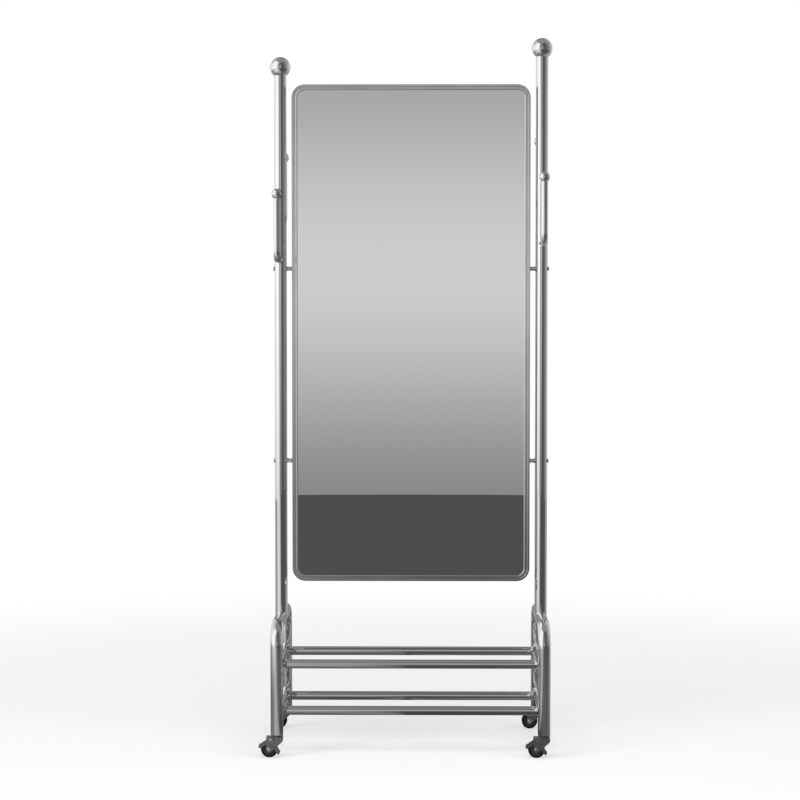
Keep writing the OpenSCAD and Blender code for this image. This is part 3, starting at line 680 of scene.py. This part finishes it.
class MIRROR_OT_set_stage(bpy.types.Operator):
    """Pale floor, soft backdrop for the reflections, lights and camera"""
    bl_idname = "mirror.set_stage"
    bl_label = "Set the stage"

    def execute(self, context):
        settings = context.scene.mirror_stage
        self.add_floor()
        self.add_backdrop()
        self.add_lights(settings)
        self.set_world(context.scene)
        self.add_camera(context.scene, settings)
        context.scene.view_settings.view_transform = "Standard"
        return {"FINISHED"}

    def add_floor(self):
        """Pale paper: white in the picture, with the mirror's shadow near it."""
        def build(bm):
            bmesh.ops.create_grid(bm, x_segments=1, y_segments=1, size=FLOOR_SIZE)
        floor = add_mesh("floor", build)
        floor.location.z = -FLOOR_DROP
        s = Shader("floor_paper")
        x, y, _ = s.axes(s.place)
        away = s.between((x * x + y * y).root(), 0.9, 3.0, 0.55, 1.0)
        paper = s.add("ShaderNodeBsdfDiffuse", None, {"Color": (0.92, 0.92, 0.92, 1.0)})
        white = s.add("ShaderNodeEmission", None, {"Color": (1.0, 1.0, 1.0, 1.0), "Strength": 1.0})
        s.output(s.add("ShaderNodeMixShader", None, {0: self.seen(s) * away, 1: paper, 2: white}))
        floor.data.materials.append(s.material)

    def seen(self, s):
        """1 for the rays that show the background: camera, glossy and transmission rays."""
        path = s.add("ShaderNodeLightPath", output="Is Camera Ray")
        outputs = path.socket.node.outputs
        return path.most(Value(s, outputs["Is Glossy Ray"])).most(Value(s, outputs["Is Transmission Ray"]))

    def add_backdrop(self):
        """Grey studio seen only in reflections: light from the left, dark on the right."""
        backdrop = add_mesh("backdrop", self.drum)
        s = Shader("backdrop_paper")
        x, y, z = s.axes(s.place)
        reach = (x * x + y * y).root()
        # degrees round the mirror: 0 straight in front, -90 to its left, 90 to its right
        turn = s.add("ShaderNodeMath", {"operation": "ARCTAN2"}, {0: x, 1: 0 - y}) * (180 / math.pi)
        rise = z / BACKDROP_HEIGHT

        def by_turn(*stops):
            """A grey by direction, from pairs of degrees and grey."""
            return s.greys(turn / 360 + 0.5, [(0.5 + degrees / 360, grey) for degrees, grey in stops])

        # upright paper: bright on the left, dark on the right, with a lighter patch straight ahead
        around = by_turn((-180, 0.3), (-165, 0.3), (-155, 0.9), (-120, 1.0), (-70, 1.35), (-40, 1.3),
                         (-20, 0.4), (0, 0.2), (30, 0.1), (60, 0.2), (100, 0.5), (130, 0.75), (150, 0.8),
                         (160, 0.3), (180, 0.3))
        ahead = s.greys(rise, ((0.0, 0.25), (0.1, 0.45), (0.2, 0.72), (0.3, 0.66), (0.4, 0.45),
                               (0.6, 0.3)), "B_SPLINE")
        fade = s.greys(rise, ((0.0, 0.75), (0.1, 0.9), (0.25, 1.0), (0.6, 0.95)))
        upright = around * fade
        upright = upright + (ahead - upright) * s.between(abs(turn), 9.0, 7.0)
        # paper underfoot: light on the left, dark on the right and far ahead, with a painted shadow under
        # the mirror
        far = by_turn((-180, 0.2), (-165, 0.7), (-145, 0.3), (-100, 0.4), (-70, 0.8), (-50, 1.0),
                      (-35, 0.8), (-10, 0.35), (5, 0.1), (75, 0.1), (120, 0.55), (145, 0.3), (165, 0.7),
                      (180, 0.2))
        near = by_turn((-180, 0.12), (-160, 0.5), (-135, 0.15), (-90, 0.2), (-60, 0.25), (-40, 0.5),
                       (-15, 0.45), (0, 0.15), (60, 0.12), (115, 0.4), (140, 0.15), (160, 0.5),
                       (180, 0.12))
        dark_ahead = 0.082
        ground = near + (far - near) * s.between(reach, 1.0, 2.4)
        in_line = s.between(abs(turn), 10.0, 7.5) * s.between(reach, 1.8, 2.6)
        ground = ground + (dark_ahead - ground) * in_line
        # painted shadow of the mirror: the glowing ground dims towards the middle, under the mirror
        ground = ground * s.between(reach, 0.1, 0.7, 0.45, 1.0)
        # paper overhead: plain grey in the middle, the upright paper's greys towards its rim
        plain_grey = 0.32
        overhead = around * s.between(abs(turn), 70, 120, 0.95, 0.60)
        overhead = plain_grey + (overhead - plain_grey) * s.between(reach, 2.1, 3.0)
        tone = upright + (ground - upright) * s.between(z, 0.002, 0.001)
        tone = tone + (overhead - tone) * s.between(z, BACKDROP_HEIGHT - 0.002, BACKDROP_HEIGHT - 0.001)
        s.output(s.add("ShaderNodeEmission", None, {"Color": (1.0, 1.0, 1.0, 1.0), "Strength": tone}))
        backdrop.data.materials.append(s.material)
        backdrop.visible_camera = backdrop.visible_diffuse = backdrop.visible_shadow = False
        backdrop.visible_transmission = backdrop.visible_volume_scatter = False

    def drum(self, bm):
        """A closed drum of paper round the mirror."""
        turns = [2 * math.pi * i / BACKDROP_SIDES for i in range(BACKDROP_SIDES)]
        rim = [(BACKDROP_RADIUS * math.sin(turn), -BACKDROP_RADIUS * math.cos(turn)) for turn in turns]
        low = [bm.verts.new((x, y, 0.0)) for x, y in rim]
        top = [bm.verts.new((x, y, BACKDROP_HEIGHT)) for x, y in rim]
        for i in range(BACKDROP_SIDES):
            j = (i + 1) % BACKDROP_SIDES
            bm.faces.new((low[i], low[j], top[j], top[i]))
        bm.faces.new(low)
        bm.faces.new(top)

    def add_lights(self, settings):
        """Three soft lamps that light surfaces and show in no reflection."""
        aim = Vector((0.0, 0.0, 0.9))
        for name, place, width, height, power in (
                ("key_light", (-3.2, -2.6, 2.6), 1.6, 2.6, settings.key),
                ("fill_light", (3.4, -1.8, 1.8), 1.2, 2.4, settings.fill),
                ("top_light", (0.2, -0.6, 3.6), 2.4, 2.0, settings.top)):
            lamp = bpy.data.lights.new(name, "AREA")
            lamp.shape, lamp.size, lamp.size_y, lamp.energy = "RECTANGLE", width, height, power
            holder = bpy.data.objects.new(name, lamp)
            holder.location = place
            holder.rotation_euler = (aim - Vector(place)).to_track_quat("-Z", "Y").to_euler()
            holder.visible_glossy = False
            bpy.context.scene.collection.objects.link(holder)

    def set_world(self, scene):
        """White where it is seen, dimmer where it lights matt surfaces."""
        lights_matt = 0.35
        world = bpy.data.worlds.new("studio")
        world.use_nodes = True
        scene.world = world
        nodes, links = world.node_tree.nodes, world.node_tree.links
        nodes.clear()
        path = nodes.new("ShaderNodeLightPath")
        diffuse = nodes.new("ShaderNodeMapRange")
        diffuse.inputs["To Min"].default_value = 1.0
        diffuse.inputs["To Max"].default_value = lights_matt
        links.new(path.outputs["Is Diffuse Ray"], diffuse.inputs["Value"])
        sky = nodes.new("ShaderNodeBackground")
        sky.inputs["Color"].default_value = (1.0, 1.0, 1.0, 1.0)
        links.new(diffuse.outputs["Result"], sky.inputs["Strength"])
        end = nodes.new("ShaderNodeOutputWorld")
        links.new(sky.outputs["Background"], end.inputs["Surface"])

    def add_camera(self, scene, settings):
        """A camera in front, turned and tilted, with no lens shift."""
        camera = bpy.data.cameras.new("camera")
        camera.lens, camera.sensor_width = settings.lens, SENSOR
        camera.clip_end = 60.0
        holder = bpy.data.objects.new("camera", camera)
        holder.location = (middle("mirror_frame").x + settings.aside, -settings.distance, settings.height)
        holder.rotation_euler = (math.pi / 2 - settings.tilt, 0.0, settings.turn)
        scene.collection.objects.link(holder)
        scene.camera = holder


class MIRROR_PT_panel(bpy.types.Panel):
    """Lists the steps and their settings"""
    bl_label = "Rolling floor mirror"
    bl_idname = "MIRROR_PT_panel"
    bl_space_type = "VIEW_3D"
    bl_region_type = "UI"
    bl_category = "Mirror"

    def draw(self, context):
        for step in STEPS:
            self.layout.operator(step.bl_idname)
        for name in GROUPS:
            group = getattr(context.scene, name)
            box = self.layout.box()
            for key in group.bl_rna.properties.keys():
                if key not in ("rna_type", "name"):
                    box.prop(group, key)


STEPS = (MIRROR_OT_finish_tubes, MIRROR_OT_finish_mirror, MIRROR_OT_finish_casters, MIRROR_OT_add_welds,
         MIRROR_OT_add_glass_bead, MIRROR_OT_set_stage)
GROUPS = {"mirror_finishes": FinishSettings, "mirror_details": DetailSettings,
          "mirror_stage": StageSettings}


def register():
    for kind in (*GROUPS.values(), *STEPS, MIRROR_PT_panel):
        bpy.utils.register_class(kind)
    for name, kind in GROUPS.items():
        setattr(bpy.types.Scene, name, PointerProperty(type=kind))


def unregister():
    for name in GROUPS:
        delattr(bpy.types.Scene, name)
    for kind in reversed((*GROUPS.values(), *STEPS, MIRROR_PT_panel)):
        bpy.utils.unregister_class(kind)


def main():
    register()
    for step in STEPS:
        group, name = step.bl_idname.split(".")
        getattr(getattr(bpy.ops, group), name)()


if __name__ == "__main__":
    main()
